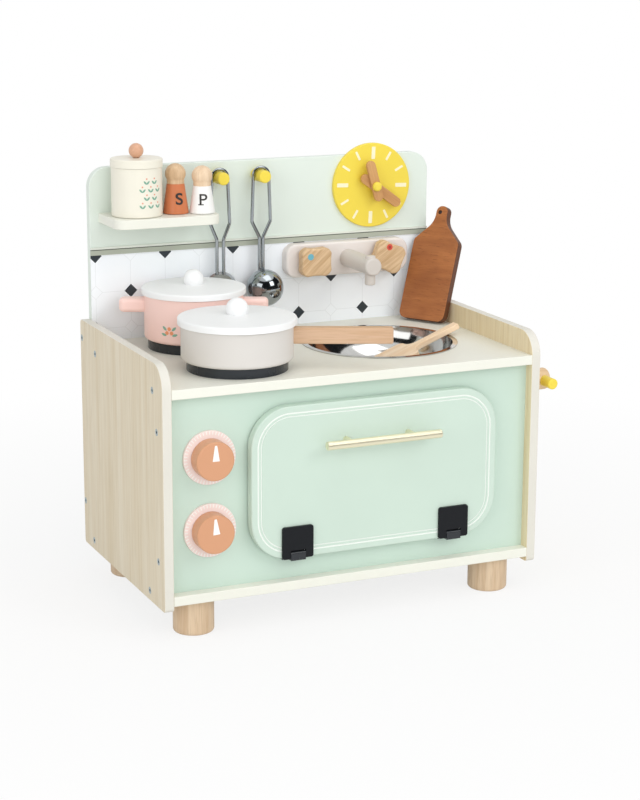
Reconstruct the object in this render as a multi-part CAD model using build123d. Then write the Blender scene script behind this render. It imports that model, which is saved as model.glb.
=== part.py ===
from build123d import *
import os
from math import acos, atan2, cos, hypot, pi, radians, sin, sqrt, tan

# Toy kitchen with an oven, in millimetres. While it is built, X = 0 is the middle of the
# cabinet, Y = 0 the front edge of its side panels and Z = 0 the floor; X runs to the right,
# Y to the back and Z up. The last lines move the origin under the middle of the whole toy.

# ---- Driving dimensions ----
# Cabinet boards
width = 400.0              # over both side panels
depth = 244.0              # side panels, front to back
board = 9.5                # thickness of every board
foot_height = 36.0
foot_radius = 20.0
foot_rounding = 3.0
foot_side_gap = 9.5        # foot to the inside of a side panel
foot_end_gap = 8.0         # foot to the front or back of the cabinet
body_height = 210.0        # underside of the base board to the top of the worktop
side_drop = 5.5            # side panels below the base board
side_rise = 22.5           # side panels above the worktop
side_front_radius = 24.0
side_small_radius = 4.0
splash_height = 177.5      # back board above the worktop
splash_corner_radius = 20.0
front_recess = 11.5        # front panel behind the side panels' front edges
easing = 0.8               # broken edges of boards

# Splashback
tile_height = 88.5
tile_thickness = 0.6
trim_height = 8.0
trim_thickness = 1.6

# Shelf
shelf_gap = 9.5            # left side panel to the shelf
shelf_length = 111.0
shelf_reach = 59.5
shelf_above_worktop = 122.0
shelf_corner_radius = 12.0

# Oven door, its opening and the groove that frames it
door_x = 20.0
door_width = 263.0
door_height = 151.0
door_rise = 23.0           # bottom of the door above the base board
door_radius = 40.0
door_gap = 2.0             # back of the door to the front panel
opening_width = 230.0
opening_height = 118.0
opening_rise = 20.0        # bottom of the opening above the bottom of the door
opening_radius = 26.0
groove_insets = (6.3, 9.6)
groove_width = 1.3
groove_depth = 0.5

# Door handle
handle_length = 122.0
handle_radius = 4.25
handle_reach = 17.0        # bar's middle in front of the door
handle_rise = 113.0        # bar's middle above the bottom of the door
handle_post_spacing = 66.6
handle_post_radius = 3.0

# Door hinges
hinge_spacing = 168.5
hinge_width = 32.4
hinge_height = 32.2
hinge_lift = 0.0           # bottom of the leaf above the bottom of the door
hinge_thickness = 3.0
hinge_corner_radius = 2.5
hinge_pivot_rise = 5.0     # pin above the bottom of the door
hinge_notch_width = 16.0
hinge_notch_height = 8.8
hinge_pin_radius = 0.9
hinge_barrel_radius = 2.3
hinge_pin_bite = 5.0        # how far the pin runs into the leaf each side
hinge_foot_thickness = 1.2
hinge_foot_gap = 0.3
hinge_foot_inset = 2.0      # ends of the foot inside the ends of the leaf
hinge_foot_setback = 3.2    # foot behind the front of the door, but for its tongue
hinge_plate_thickness = 1.5
hinge_plate_rise = 16.0

# Oven knobs
knob_inset = 40.3          # knobs' middle to the inside of the left panel
knob_rises = (58.6, 130.0)  # above the base board
dial_radius = 26.4
dial_thickness = 3.0
knob_radius = 19.0
knob_length = 15.5
knob_rounding = 1.8
knob_bore_depth = 7.0
axle_radius = 4.0
axle_head_radius = 9.0
axle_head_thickness = 2.5

# Hotplates
saucepan_inset = 90.5      # middle of the pan to the inside of the left panel
stewpot_inset = 88.0
stewpot_back_gap = 8.5     # edge of its lid to the back board
lid_clearance = 0.5        # between the two lids, front to back
saucepan_plate_inset = 5.2  # edge of the hotplate inside the edge of the pan
stewpot_plate_inset = 3.5
hotplate_height = 9.5

# Saucepan
saucepan_radius = 54.4
saucepan_height = 34.4
saucepan_lid_overhang = 3.1
saucepan_lid_rim = 6.5
saucepan_knob_radius = 10.8
pan_wall = 4.0
pan_floor = 5.0
pan_base_radius = 3.5
lid_crown = 2.5
lid_rounding = 1.5
lid_spigot = 3.0
pan_turn = -23.5           # degrees, direction of the pans' handles seen from above
saucepan_handle_length = 95.6
saucepan_handle_height = 16.0
saucepan_handle_thickness = 11.0
saucepan_handle_drop = 3.4  # top of the handle below the rim

# Stewpot
stewpot_radius = 50.0
stewpot_height = 45.3
stewpot_lid_overhang = 2.5
stewpot_lid_rim = 6.0
stewpot_knob_radius = 10.2
stewpot_handle_reach = 25.0
stewpot_handle_height = 14.0
stewpot_handle_width = 18.0
stewpot_handle_drop = 5.2
handle_rounding = 2.0
stewpot_handle_rounding = 4.0

# Sink
sink_inset = 111.5         # middle of the sink to the inside of the right panel
sink_setback = 116.0       # middle of the sink to the back board
sink_radius = 80.0
sink_rim_width = 5.0
sink_depth = 35.0
sink_floor_radius = 42.0
sheet_steel = 1.0

# Wooden spatula resting in the sink
spatula_length = 110.0
spatula_overhang = 16.0    # handle beyond the inner edge of the sink's rim
spatula_slope = 21.5       # degrees
spatula_handle_width = 10.0
spatula_blade_length = 54.0
spatula_blade_width = 44.0
spatula_thickness = 6.0

# Tap set
faucet_shift = 12.0        # middle of the plate to the right of the sink's middle
faucet_rise = 69.8         # middle of the plate above the worktop
faucet_width = 142.0
faucet_height = 35.5
faucet_radius = 12.0
faucet_thickness = 12.0
spout_radius = 9.5
spout_rounding = 2.3
spout_length = 64.0
nozzle_radius = 5.5
nozzle_setback = 9.0       # nozzle's axis behind the end of the spout
nozzle_top = 1.5           # nozzle above the spout
nozzle_drop = 10.3         # nozzle below the spout
tap_offset = 42.4
tap_width = 35.0
tap_height = 30.5
tap_corner_radius = 9.0
tap_waist = 0.9            # how far each side is hollowed
tap_waist_radius = 60.0
tap_thickness = 10.0
tap_stand_off = 5.5        # back of a tap to the plate
tap_turns = (0.0, -23.0)    # degrees, cold and hot
tap_axle_radius = 3.0
tap_bore_depth = 6.0
tap_axle_head_radius = 7.0
tap_axle_head_thickness = 2.0

# Clock
clock_inset = 67.9         # middle of the clock to the inside of the right panel
clock_rise = 144.6         # middle of the clock above the worktop
clock_radius = 44.8
clock_thickness = 4.0
hour_tip, minute_tip = 28.0, 36.5
hour_tail, minute_tail = 16.5, 18.5
hand_width = 10.3
hand_thickness = 3.0
hour_angle, minute_angle = -16.0, 126.0   # degrees from twelve
clock_pin_radius = 2.5
clock_pin_head_radius = 5.0
clock_pin_head_height = 4.0
clock_pin_depth = 2.5      # into the face
clock_collar_length = 4.9  # of the pin's collar, between the face and the hands

# Utensils on their pegs
peg_xs = (-54.5, -8.7)     # skimmer, ladle
peg_rise = 162.3
peg_radius = 6.5
peg_reach = 25.0
wire_radius = 1.8
wire_setback = 12.5        # wire's middle in front of the back board
shoulder_drop = 47.5       # where the loop starts to close, below the peg
waist_drop = 64.0
bend_radius = 7.0
skimmer_spread = 3.7       # half the distance between the bars
ladle_spread = 2.0
skimmer_shoulder = 10.6    # half the width of the loop at its shoulders
ladle_shoulder = 10.4
skimmer_radius = 19.0
skimmer_depth = 4.0
skimmer_drop = 116.6       # middle of the dish below the peg
skimmer_hole_radius = 1.8
skimmer_hole_circle = 9.5
skimmer_hole_count = 6
ladle_radius = 19.5
ladle_drop = 116.0
ladle_rim_setback = 9.5    # rim behind the middle of the bowl's sphere
weld = 3.0                 # how far a wire runs onto a blade or bowl

# Canister and shakers on the shelf
canister_inset = 30.9      # its middle to the left end of the shelf
canister_setback = 29.5    # its middle to the back board
canister_radius = 25.5
canister_height = 48.7
canister_wall = 3.0
canister_floor = 4.0
canister_lid_overhang = 0.7
canister_lid_height = 8.3
canister_knob_radius = 7.4
canister_knob_rise = 7.2   # middle of the ball above the lid
salt_gap = 1.4             # canister's lid to the salt shaker
shaker_overlap = 0.9       # pepper stands this far in behind the edge of the salt
shaker_setbacks = (30.5, 38.5)   # salt, pepper: middle to the back board
shaker_heights = (30.0, 27.5)
shaker_base_radius = 13.2
shaker_top_radius = 9.0
shaker_head_radius = 10.4
shaker_head_rise = 9.7     # middle of the ball above the body
shaker_collar_radius = 8.8
shaker_neck_radius = 4.0
shaker_neck_depth = 5.0

# Cutting board leaning in the corner
cutting_width = 56.0
cutting_shoulder = 86.5    # straight side, up to the sloping shoulder
cutting_neck = 107.0       # up to the handle
cutting_length = 125.0
cutting_handle_width = 14.0
cutting_thickness = 8.5
cutting_corner_radius = 8.0
cutting_neck_radius = 20.0
cutting_hole_radius = 2.2
cutting_hole_shift = -2.0  # of the hole from the middle
cutting_turn = -58.9       # degrees, its bottom edge seen from above
cutting_lean = 20.2        # degrees from upright

# Towel rail on the right side panel
rail_stand_off = 16.1
rail_radius = 5.5
rail_drop = 32.0           # rail's middle below the top of the worktop
rail_front = 0.5
rail_post_setback = 27.5
rail_post_radius = 11.0
rail_post_cap = 7.9        # post beyond the rail's middle

# Screws
screw_radius = 1.6
screw_head_radius = 3.5
screw_head_depth = 2.0
screw_socket_radius = 1.5
screw_socket_depth = 1.2
screw_length = 25.0
short_screw_length = 15.0
clock_screw_bite = 2.6     # into the clock's back

# Clearances
seat_gap = 0.3             # between a lift-off piece and what it rests on
turn_gap = 0.4             # beside a turning piece
running_gap = 0.08         # round a shaft in its hole

# ---- Places that follow from them ----
half = width / 2
inner_half = half - board
base_top = foot_height + board
worktop_top = foot_height + body_height
worktop_under = worktop_top - board
side_bottom = foot_height - side_drop
side_top = worktop_top + side_rise
back_front = depth - board
back_top = worktop_top + splash_height
tile_front = back_front - tile_thickness
panel_back = front_recess + board
door_back = front_recess - door_gap
door_front = door_back - board
plate_top = worktop_top + hotplate_height
shelf_top = worktop_top + shelf_above_worktop + board
shelf_left = shelf_gap - inner_half
door_bottom = base_top + door_rise
knob_x = knob_inset - inner_half
knob_heights = [base_top + rise for rise in knob_rises]
rail_rise = worktop_top - rail_drop
sink_x, sink_y = inner_half - sink_inset, back_front - sink_setback
faucet_x = sink_x + faucet_shift
clock_x = inner_half - clock_inset
saucepan_lid_radius = saucepan_radius + saucepan_lid_overhang
stewpot_lid_radius = stewpot_radius + stewpot_lid_overhang
saucepan_plate_radius = saucepan_radius - saucepan_plate_inset
stewpot_plate_radius = stewpot_radius - stewpot_plate_inset
stewpot_x = stewpot_inset - inner_half
stewpot_y = back_front - stewpot_lid_radius - stewpot_back_gap
saucepan_x = saucepan_inset - inner_half
saucepan_y = stewpot_y - stewpot_lid_radius - saucepan_lid_radius - lid_clearance
canister_lid_radius = canister_radius + canister_lid_overhang
canister_x, canister_y = shelf_left + canister_inset, back_front - canister_setback
salt_x = canister_x + canister_lid_radius + salt_gap + shaker_base_radius
pepper_x = salt_x + 2 * shaker_base_radius - shaker_overlap

parts = {}


def block(x0, x1, y0, y1, z0, z1):
    """Box between two corners."""
    return Pos((x0 + x1) / 2, (y0 + y1) / 2, (z0 + z1) / 2) * Box(x1 - x0, y1 - y0, z1 - z0)


def rod(radius, start, end):
    """Round bar between two points."""
    axis = Vector(*end) - Vector(*start)
    foot = Plane(origin=start, z_dir=axis)
    return foot * Cylinder(radius, axis.length, align=(Align.CENTER, Align.CENTER, Align.MIN))


def upright(x, y, z):
    """Plane that faces the front, with its own y running up."""
    return Plane(origin=(x, y, z), x_dir=(1, 0, 0), z_dir=(0, -1, 0))


def slab(outline, x, z, front, thickness):
    """Upright flat piece with its front face at front."""
    return extrude(upright(x, front + thickness, z) * outline, amount=thickness)


def end_edges(piece, axis, last=True):
    """Edges that lie in the flat end of a piece."""
    return piece.faces().sort_by(axis)[-1 if last else 0].edges()


def crown_lid(radius, rim, spigot_radius):
    """Round wooden lid: flat rim, slightly domed top and a spigot that drops into the pan."""
    dome_radius = (radius ** 2 + lid_crown ** 2) / (2 * lid_crown)
    top = Cylinder(radius, rim + lid_crown, align=(Align.CENTER, Align.CENTER, Align.MIN))
    top &= Pos(0, 0, rim + lid_crown - dome_radius) * Sphere(dome_radius)
    circles = top.edges().filter_by(GeomType.CIRCLE).sort_by(SortBy.LENGTH)[-2:]
    top = fillet(circles.sort_by(Axis.Z)[-1], lid_rounding)
    return top + Pos(0, 0, -lid_spigot / 2) * Cylinder(spigot_radius, lid_spigot)


def pan_body(radius, height):
    """Round hollow pan standing on Z = 0, with a rounded bottom edge."""
    outer = Cylinder(radius, height, align=(Align.CENTER, Align.CENTER, Align.MIN))
    outer = fillet(end_edges(outer, Axis.Z, last=False), pan_base_radius)
    inner = Cylinder(radius - pan_wall, height, align=(Align.CENTER, Align.CENTER, Align.MIN))
    inner = fillet(end_edges(inner, Axis.Z, last=False), pan_base_radius - 1)
    body = outer - Pos(0, 0, pan_floor) * inner
    return fillet(body.edges().sort_by(Axis.Z)[-2:], 1.0)


def screw(head, direction, length):
    """Countersunk screw, its head flush with the surface at head."""
    plane = Plane(origin=head, z_dir=direction)
    up = (Align.CENTER, Align.CENTER, Align.MIN)
    cone = Cone(screw_head_radius, screw_radius, screw_head_depth, align=up)
    return plane * (cone + Cylinder(screw_radius, length, align=up))


screws = []


def fasten(head, direction, length, *names):
    """Drive one screw through the named pieces, which get its hole."""
    body = screw(head, direction, length)
    for name in names:
        parts[name] -= body
    socket = extrude(Plane(origin=head, z_dir=direction) * RegularPolygon(screw_socket_radius, 6),
                     amount=screw_socket_depth)
    screws.append(body - socket)


# ---- Cabinet ----
def side_panel(x0):
    """Side panel with a large radius at its upper front corner."""
    panel = block(x0, x0 + board, 0, depth, side_bottom, side_top)
    corners = panel.edges().filter_by(Axis.X)
    front_top = corners.sort_by(Axis.Z)[-2:].sort_by(Axis.Y)[0]
    panel = fillet(front_top, side_front_radius)
    others = panel.edges().filter_by(Axis.X)
    small = [e for e in others if e.center().Z < side_bottom + 1 or e.center().Y > depth - 1]
    panel = fillet(small, side_small_radius)
    return fillet(end_edges(panel, Axis.X, last=False) + end_edges(panel, Axis.X), easing)


parts["left_side_panel"] = side_panel(-half)
parts["right_side_panel"] = side_panel(inner_half)

sink_hole_radius = sink_radius - sink_rim_width + sheet_steel + 0.5
worktop = block(-inner_half, inner_half, 0, back_front, worktop_under, worktop_top)
worktop = fillet(end_edges(worktop, Axis.Y, last=False).filter_by(Axis.X), easing)
worktop -= Pos(sink_x, sink_y, worktop_top) * Cylinder(sink_hole_radius, 4 * board)
parts["worktop"] = worktop

base = block(-inner_half, inner_half, 0, back_front, foot_height, base_top)
parts["base_board"] = fillet(end_edges(base, Axis.Y, last=False).filter_by(Axis.X), easing)

back = block(-inner_half, inner_half, back_front, depth, foot_height, back_top)
back = fillet(back.edges().filter_by(Axis.Y).sort_by(Axis.Z)[-2:], splash_corner_radius)
rim = [e for e in back.edges() if e.center().Z > side_top and abs(e.center().Y - depth + board / 2) > 1]
parts["back_board"] = fillet(rim, easing)

foot_x = inner_half - foot_side_gap - foot_radius
foot_ys = (foot_end_gap + foot_radius, depth - foot_end_gap - foot_radius)
foot = fillet(end_edges(rod(foot_radius, (0, 0, 0), (0, 0, foot_height)), Axis.Z, last=False), foot_rounding)
parts["feet"] = [Pos(x, y, 0) * foot for x in (-foot_x, foot_x) for y in foot_ys]

# ---- Front panel with the oven's opening ----
panel = block(-inner_half, inner_half, front_recess, panel_back, base_top, worktop_under)
opening = RectangleRounded(opening_width, opening_height, opening_radius)
opening_z = door_bottom + opening_rise + opening_height / 2
panel -= slab(opening, door_x, opening_z, front_recess - 1, board + 2)
for z in knob_heights:
    panel -= rod(axle_radius + running_gap, (knob_x, 0, z), (knob_x, depth / 2, z))
parts["front_panel"] = panel

# ---- Splashback: tiled sheet, edge trim and shelf ----
parts["tile_splashback"] = block(-inner_half, inner_half, tile_front, back_front,
                                 worktop_top, worktop_top + tile_height)
trim_bottom = worktop_top + tile_height
trim = block(-inner_half, inner_half, back_front - trim_thickness, back_front,
             trim_bottom, trim_bottom + trim_height)
groove = block(-inner_half, inner_half, back_front - trim_thickness, back_front - trim_thickness / 2,
               trim_bottom + trim_height * 0.62, trim_bottom + trim_height * 0.72)
parts["splashback_trim"] = trim - groove

shelf = block(shelf_left, shelf_left + shelf_length, back_front - shelf_reach, back_front,
              shelf_top - board, shelf_top)
shelf = fillet(shelf.edges().filter_by(Axis.Z).sort_by(Axis.Y)[:2], shelf_corner_radius)
rim = [e for e in shelf.edges()
       if e.center().Y < back_front - 0.1 and abs(e.center().Z - shelf_top + board / 2) > 1]
parts["shelf"] = fillet(rim, easing)

# ---- Oven door with its groove and handle ----
door_z = door_bottom + door_height / 2
door_outline = RectangleRounded(door_width, door_height, door_radius)
door = slab(door_outline, door_x, door_z, door_front, board)
door = fillet(end_edges(door, Axis.Y, last=False), 1.4)
for inset in groove_insets:
    inner = inset + groove_width
    ring = (RectangleRounded(door_width - 2 * inset, door_height - 2 * inset, door_radius - inset)
            - RectangleRounded(door_width - 2 * inner, door_height - 2 * inner, door_radius - inner))
    door -= slab(ring, door_x, door_z, door_front, groove_depth)
parts["door_panel"] = door

bar_y = door_front - handle_reach
bar_z = door_bottom + handle_rise
bar = rod(handle_radius, (door_x - handle_length / 2, bar_y, bar_z),
          (door_x + handle_length / 2, bar_y, bar_z))
bar = fillet(end_edges(bar, Axis.X) + end_edges(bar, Axis.X, last=False), 0.8)
parts["door_handle_bar"] = bar
post_xs = (door_x - handle_post_spacing / 2, door_x + handle_post_spacing / 2)
parts["door_handle_posts"] = [rod(handle_post_radius, (x, door_front, bar_z), (x, bar_y, bar_z)) - bar
                              for x in post_xs]

# ---- Door hinges: a notched leaf on the door, a foot let into the front panel, and a pin ----
pivot_y = door_front - hinge_thickness / 2
pivot_z = door_bottom + hinge_pivot_rise
hinge_xs = (door_x - hinge_spacing / 2, door_x + hinge_spacing / 2)
pin_end = hinge_notch_width / 2 + hinge_pin_bite


def door_leaf(x):
    """Plate on the door with a notch in its lower edge, bored each side for the pin."""
    outline = RectangleRounded(hinge_width, hinge_height, hinge_corner_radius)
    z = door_bottom + hinge_lift + hinge_height / 2
    leaf = slab(outline, x, z, door_front - hinge_thickness, hinge_thickness)
    leaf = fillet(end_edges(leaf, Axis.Y, last=False), 0.8)
    bottom = door_bottom + hinge_lift
    half_notch = hinge_notch_width / 2
    leaf -= block(x - half_notch, x + half_notch, door_front - 2 * hinge_thickness, door_front,
                  bottom - 1, bottom + hinge_notch_height)
    return leaf - hinge_pin(x, 0)


def frame_leaf(x):
    """Foot under the door with a knuckle in the notch and a plate let into the panel."""
    top = door_bottom - hinge_foot_gap
    bottom = top - hinge_foot_thickness
    left, right = x - hinge_width / 2, x + hinge_width / 2
    foot = block(left + hinge_foot_inset, right - hinge_foot_inset, door_front + hinge_foot_setback,
                 front_recess, bottom, top)
    plate = block(left, right, front_recess, front_recess + hinge_plate_thickness,
                  bottom, door_bottom + hinge_plate_rise)
    half_knuckle = hinge_notch_width / 2 - seat_gap
    barrel = hinge_barrel_radius - seat_gap
    knuckle = rod(barrel, (x - half_knuckle, pivot_y, pivot_z), (x + half_knuckle, pivot_y, pivot_z))
    neck = block(x - half_knuckle, x + half_knuckle, pivot_y - barrel, door_front - seat_gap, bottom, pivot_z)
    tongue = block(x - half_knuckle, x + half_knuckle, pivot_y - barrel, front_recess, bottom, top)
    return foot + tongue + plate + knuckle + neck - hinge_pin(x, running_gap)


def hinge_pin(x, gap):
    """Pin of one hinge, or its hole when gap is more than nothing."""
    return rod(hinge_pin_radius + gap, (x - pin_end, pivot_y, pivot_z), (x + pin_end, pivot_y, pivot_z))


parts["door_hinge_leaves"] = [door_leaf(x) for x in hinge_xs]
parts["frame_hinge_leaves"] = [frame_leaf(x) for x in hinge_xs]
parts["hinge_pins"] = [hinge_pin(x, 0) for x in hinge_xs]
for x in hinge_xs:
    parts["door_panel"] -= rod(hinge_barrel_radius, (x - hinge_notch_width / 2, pivot_y, pivot_z),
                               (x + hinge_notch_width / 2, pivot_y, pivot_z))
    parts["front_panel"] -= block(x - hinge_width / 2, x + hinge_width / 2, front_recess,
                                  front_recess + hinge_plate_thickness,
                                  door_bottom - hinge_foot_gap - hinge_foot_thickness,
                                  door_bottom + hinge_plate_rise)

# ---- Oven knobs on their dials ----
dial_front = front_recess - dial_thickness
knob_back = dial_front - seat_gap
knob_front = knob_back - knob_length
dials = []
for name, z in zip(("lower_knob", "upper_knob"), knob_heights):
    dial = rod(dial_radius, (knob_x, front_recess, z), (knob_x, dial_front, z))
    dial = fillet(end_edges(dial, Axis.Y, last=False), easing)
    dials.append(dial - rod(axle_radius + running_gap, (knob_x, 0, z), (knob_x, depth / 2, z)))
    knob = rod(knob_radius, (knob_x, knob_back, z), (knob_x, knob_front, z))
    knob = fillet(end_edges(knob, Axis.Y, last=False), knob_rounding)
    bore_end = knob_back - knob_bore_depth
    head_front = panel_back + turn_gap
    axle = rod(axle_radius, (knob_x, bore_end, z), (knob_x, head_front, z))
    axle += rod(axle_head_radius, (knob_x, head_front, z), (knob_x, head_front + axle_head_thickness, z))
    parts[name] = knob - axle
    parts[name + "_axle"] = axle
parts["knob_dials"] = dials

# ---- Hotplates and pans ----
for name, x, y, radius in (("front_hotplate", saucepan_x, saucepan_y, saucepan_plate_radius),
                           ("rear_hotplate", stewpot_x, stewpot_y, stewpot_plate_radius)):
    plate = rod(radius, (x, y, worktop_top), (x, y, plate_top))
    parts[name] = fillet(end_edges(plate, Axis.Z), easing)


def pan_frame(x, y):
    """Plane on a hotplate, its x along the pan's handles."""
    along = (cos(radians(pan_turn)), sin(radians(pan_turn)), 0)
    return Plane(origin=(x, y, plate_top + seat_gap), x_dir=along, z_dir=(0, 0, 1))


def pan_set(name, frame, radius, height, lid_radius, lid_rim, knob_radius):
    """Pan, its lid and the ball on the lid."""
    lid = Pos(0, 0, height + seat_gap) * crown_lid(lid_radius, lid_rim, radius - pan_wall - 1)
    ball = Pos(0, 0, height + seat_gap + lid_rim + lid_crown + 0.45 * knob_radius) * Sphere(knob_radius)
    parts[name] = frame * pan_body(radius, height)
    parts[name + "_lid"] = frame * lid
    parts[name + "_lid_knob"] = frame * (ball - lid)


saucepan_frame = pan_frame(saucepan_x, saucepan_y)
stewpot_frame = pan_frame(stewpot_x, stewpot_y)
pan_set("saucepan", saucepan_frame, saucepan_radius, saucepan_height,
        saucepan_lid_radius, saucepan_lid_rim, saucepan_knob_radius)
pan_set("stewpot", stewpot_frame, stewpot_radius, stewpot_height,
        stewpot_lid_radius, stewpot_lid_rim, stewpot_knob_radius)

grip_top = saucepan_height - saucepan_handle_drop
half_grip = saucepan_handle_thickness / 2
grip = block(saucepan_radius - pan_wall, saucepan_radius + saucepan_handle_length, -half_grip,
             half_grip, grip_top - saucepan_handle_height, grip_top)
grip = fillet(grip.edges().filter_by(Axis.X) + end_edges(grip, Axis.X), handle_rounding)
grip -= Cylinder(saucepan_radius, 4 * saucepan_height)
parts["saucepan_handle"] = saucepan_frame * grip

ear_top = stewpot_height - stewpot_handle_drop
ears = []
for side in (0, 180):
    ear = block(stewpot_radius - pan_wall, stewpot_radius + stewpot_handle_reach, -stewpot_handle_width / 2,
                stewpot_handle_width / 2, ear_top - stewpot_handle_height, ear_top)
    ear = fillet(ear.edges().filter_by(Axis.Z).sort_by(Axis.X)[-2:], stewpot_handle_width / 3)
    outer = [e for e in ear.edges() if e.center().X > stewpot_radius - pan_wall + 0.1
             and abs(e.center().Z - ear_top + stewpot_handle_height / 2) > 1]
    ear = fillet(outer, stewpot_handle_rounding)
    ear -= Cylinder(stewpot_radius, 4 * stewpot_height)
    ears.append(stewpot_frame * Rot(0, 0, side) * ear)
parts["stewpot_handles"] = ears

# ---- Sink: pressed steel bowl hanging by its rim ----
wall_radius = sink_radius - sink_rim_width


def bowl_side(offset, rim_z):
    """Half outline of the bowl, from its rim to its middle, offset outwards."""
    mouth = (wall_radius + offset, rim_z)
    middle = (wall_radius - 10.5 + offset * 0.8, -sink_depth * 0.62 - offset * 0.6)
    floor = (sink_floor_radius, -sink_depth + sheet_steel - offset)
    return mouth, middle, floor


mouth_in, middle_in, floor_in = bowl_side(0, sheet_steel)
mouth_out, middle_out, floor_out = bowl_side(sheet_steel, 0)
profile = ThreePointArc(mouth_in, middle_in, floor_in)
profile += Polyline(floor_in, (0, floor_in[1]), (0, floor_out[1]), floor_out)
profile += ThreePointArc(floor_out, middle_out, mouth_out)
profile += Polyline(mouth_out, (sink_radius, 0), (sink_radius, sheet_steel), mouth_in)
bowl = revolve(Plane.XZ * make_face(profile), Axis.Z)
parts["sink_bowl"] = Pos(sink_x, sink_y, worktop_top) * bowl

# ---- Wooden spatula: handle on the sink's rim, blade on its floor ----
slope = radians(spatula_slope)
rest = (sink_x + wall_radius + turn_gap, sink_y, worktop_top + sheet_steel + turn_gap)
spatula_plane = Plane(origin=rest, x_dir=(-cos(slope), 0, -sin(slope)), z_dir=(-sin(slope), 0, cos(slope)))
tip = spatula_length - spatula_overhang
stick = Pos((tip - spatula_overhang) / 2, 0) * Rectangle(spatula_length, spatula_handle_width)
blade = Pos(tip - spatula_blade_length / 2, 0) * RectangleRounded(
    spatula_blade_length, spatula_blade_width, 7.0)
spatula_face = stick + blade
blade_start, half_stick = tip - spatula_blade_length, spatula_handle_width / 2
inner_corners = [v for v in spatula_face.vertices()
                 if abs(v.X - blade_start) < 0.1 and abs(abs(v.Y) - half_stick) < 0.1]
spatula_face = fillet(inner_corners, 9.0)
spatula = extrude(spatula_face, amount=spatula_thickness)
spatula = fillet(end_edges(spatula, Axis.Z) + end_edges(spatula, Axis.Z, last=False), 1.0)
parts["spatula"] = spatula_plane * spatula

# ---- Tap set on the splashback ----
faucet_z = worktop_top + faucet_rise
plate_front = tile_front - faucet_thickness
faucet_plate = slab(RectangleRounded(faucet_width, faucet_height, faucet_radius), faucet_x, faucet_z,
                    plate_front, faucet_thickness)
faucet_plate = fillet(end_edges(faucet_plate, Axis.Y, last=False), 2.5)
spout_end = plate_front - spout_length
nozzle_y = spout_end + nozzle_setback
nozzle = rod(nozzle_radius, (faucet_x, nozzle_y, faucet_z - spout_radius - nozzle_drop),
             (faucet_x, nozzle_y, faucet_z + spout_radius + nozzle_top))
nozzle = fillet(end_edges(nozzle, Axis.Z) + end_edges(nozzle, Axis.Z, last=False), 1.5)
spout = rod(spout_radius, (faucet_x, plate_front, faucet_z), (faucet_x, spout_end, faucet_z))
spout = fillet(end_edges(spout, Axis.Y, last=False), spout_rounding)
parts["faucet_spout"] = spout - nozzle
parts["faucet_nozzle"] = nozzle

tap_back = plate_front - tap_stand_off
tap_xs = (faucet_x - tap_offset, faucet_x + tap_offset)
seat_depth = tap_axle_head_thickness + 2 * turn_gap
through = [parts["back_board"], parts["tile_splashback"], faucet_plate]
for name, x, turn in zip(("cold_tap", "hot_tap"), tap_xs, tap_turns):
    face = RectangleRounded(tap_width, tap_height, tap_corner_radius)
    hollow = tap_waist_radius - tap_waist
    for side in (-1, 1):
        face -= Pos(side * (tap_width / 2 + hollow), 0) * Circle(tap_waist_radius)
        face -= Pos(0, side * (tap_height / 2 + hollow)) * Circle(tap_waist_radius)
    tap = slab(Rot(0, 0, turn) * face, x, faucet_z, tap_back - tap_thickness, tap_thickness)
    tap = fillet(end_edges(tap, Axis.Y, last=False), 2.2)
    shaft_end = depth - turn_gap - tap_axle_head_thickness
    axle = rod(tap_axle_radius, (x, tap_back - tap_bore_depth, faucet_z), (x, shaft_end, faucet_z))
    axle += rod(tap_axle_head_radius, (x, shaft_end, faucet_z), (x, depth - turn_gap, faucet_z))
    parts[name] = tap - axle
    parts[name + "_axle"] = axle
    hole = rod(tap_axle_radius + running_gap, (x, tap_back, faucet_z), (x, depth, faucet_z))
    hole += rod(tap_axle_head_radius + turn_gap, (x, depth - seat_depth, faucet_z), (x, depth + 1, faucet_z))
    through = [piece - hole for piece in through]
parts["back_board"], parts["tile_splashback"], parts["faucet_plate"] = through

# ---- Clock ----
clock_z = worktop_top + clock_rise
clock_front = back_front - clock_thickness
minute_y = clock_front - clock_collar_length - turn_gap - hand_thickness
hour_y = minute_y - turn_gap - hand_thickness
head_back = hour_y - turn_gap
clock_pin = rod(clock_pin_radius, (clock_x, clock_front + clock_pin_depth, clock_z),
                (clock_x, head_back, clock_z))
head = rod(clock_pin_head_radius, (clock_x, head_back, clock_z),
           (clock_x, head_back - clock_pin_head_height, clock_z))
clock_pin += fillet(end_edges(head, Axis.Y, last=False), 2.5)
clock_pin += rod(clock_pin_head_radius, (clock_x, clock_front, clock_z),
                 (clock_x, clock_front - clock_collar_length, clock_z))
parts["clock_pin"] = clock_pin
clock = rod(clock_radius, (clock_x, back_front, clock_z), (clock_x, clock_front, clock_z))
clock = fillet(end_edges(clock, Axis.Y, last=False), 1.2)
parts["clock_face"] = clock - clock_pin


def clock_hand(tip, tail, angle, front):
    """Flat wooden hand with round ends and a hole for the pin."""
    length = tip + tail
    outline = Pos(0, tip - length / 2) * Rot(0, 0, 90) * SlotOverall(length, hand_width)
    outline -= Circle(clock_pin_radius + running_gap)
    hand = slab(Rot(0, 0, -angle) * outline, clock_x, clock_z, front, hand_thickness)
    return fillet(hand.faces().sort_by(Axis.Y)[0].outer_wire().edges(), 0.6)


parts["hour_hand"] = clock_hand(hour_tip, hour_tail, hour_angle, hour_y)
parts["minute_hand"] = clock_hand(minute_tip, minute_tail, minute_angle, minute_y)

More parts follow.
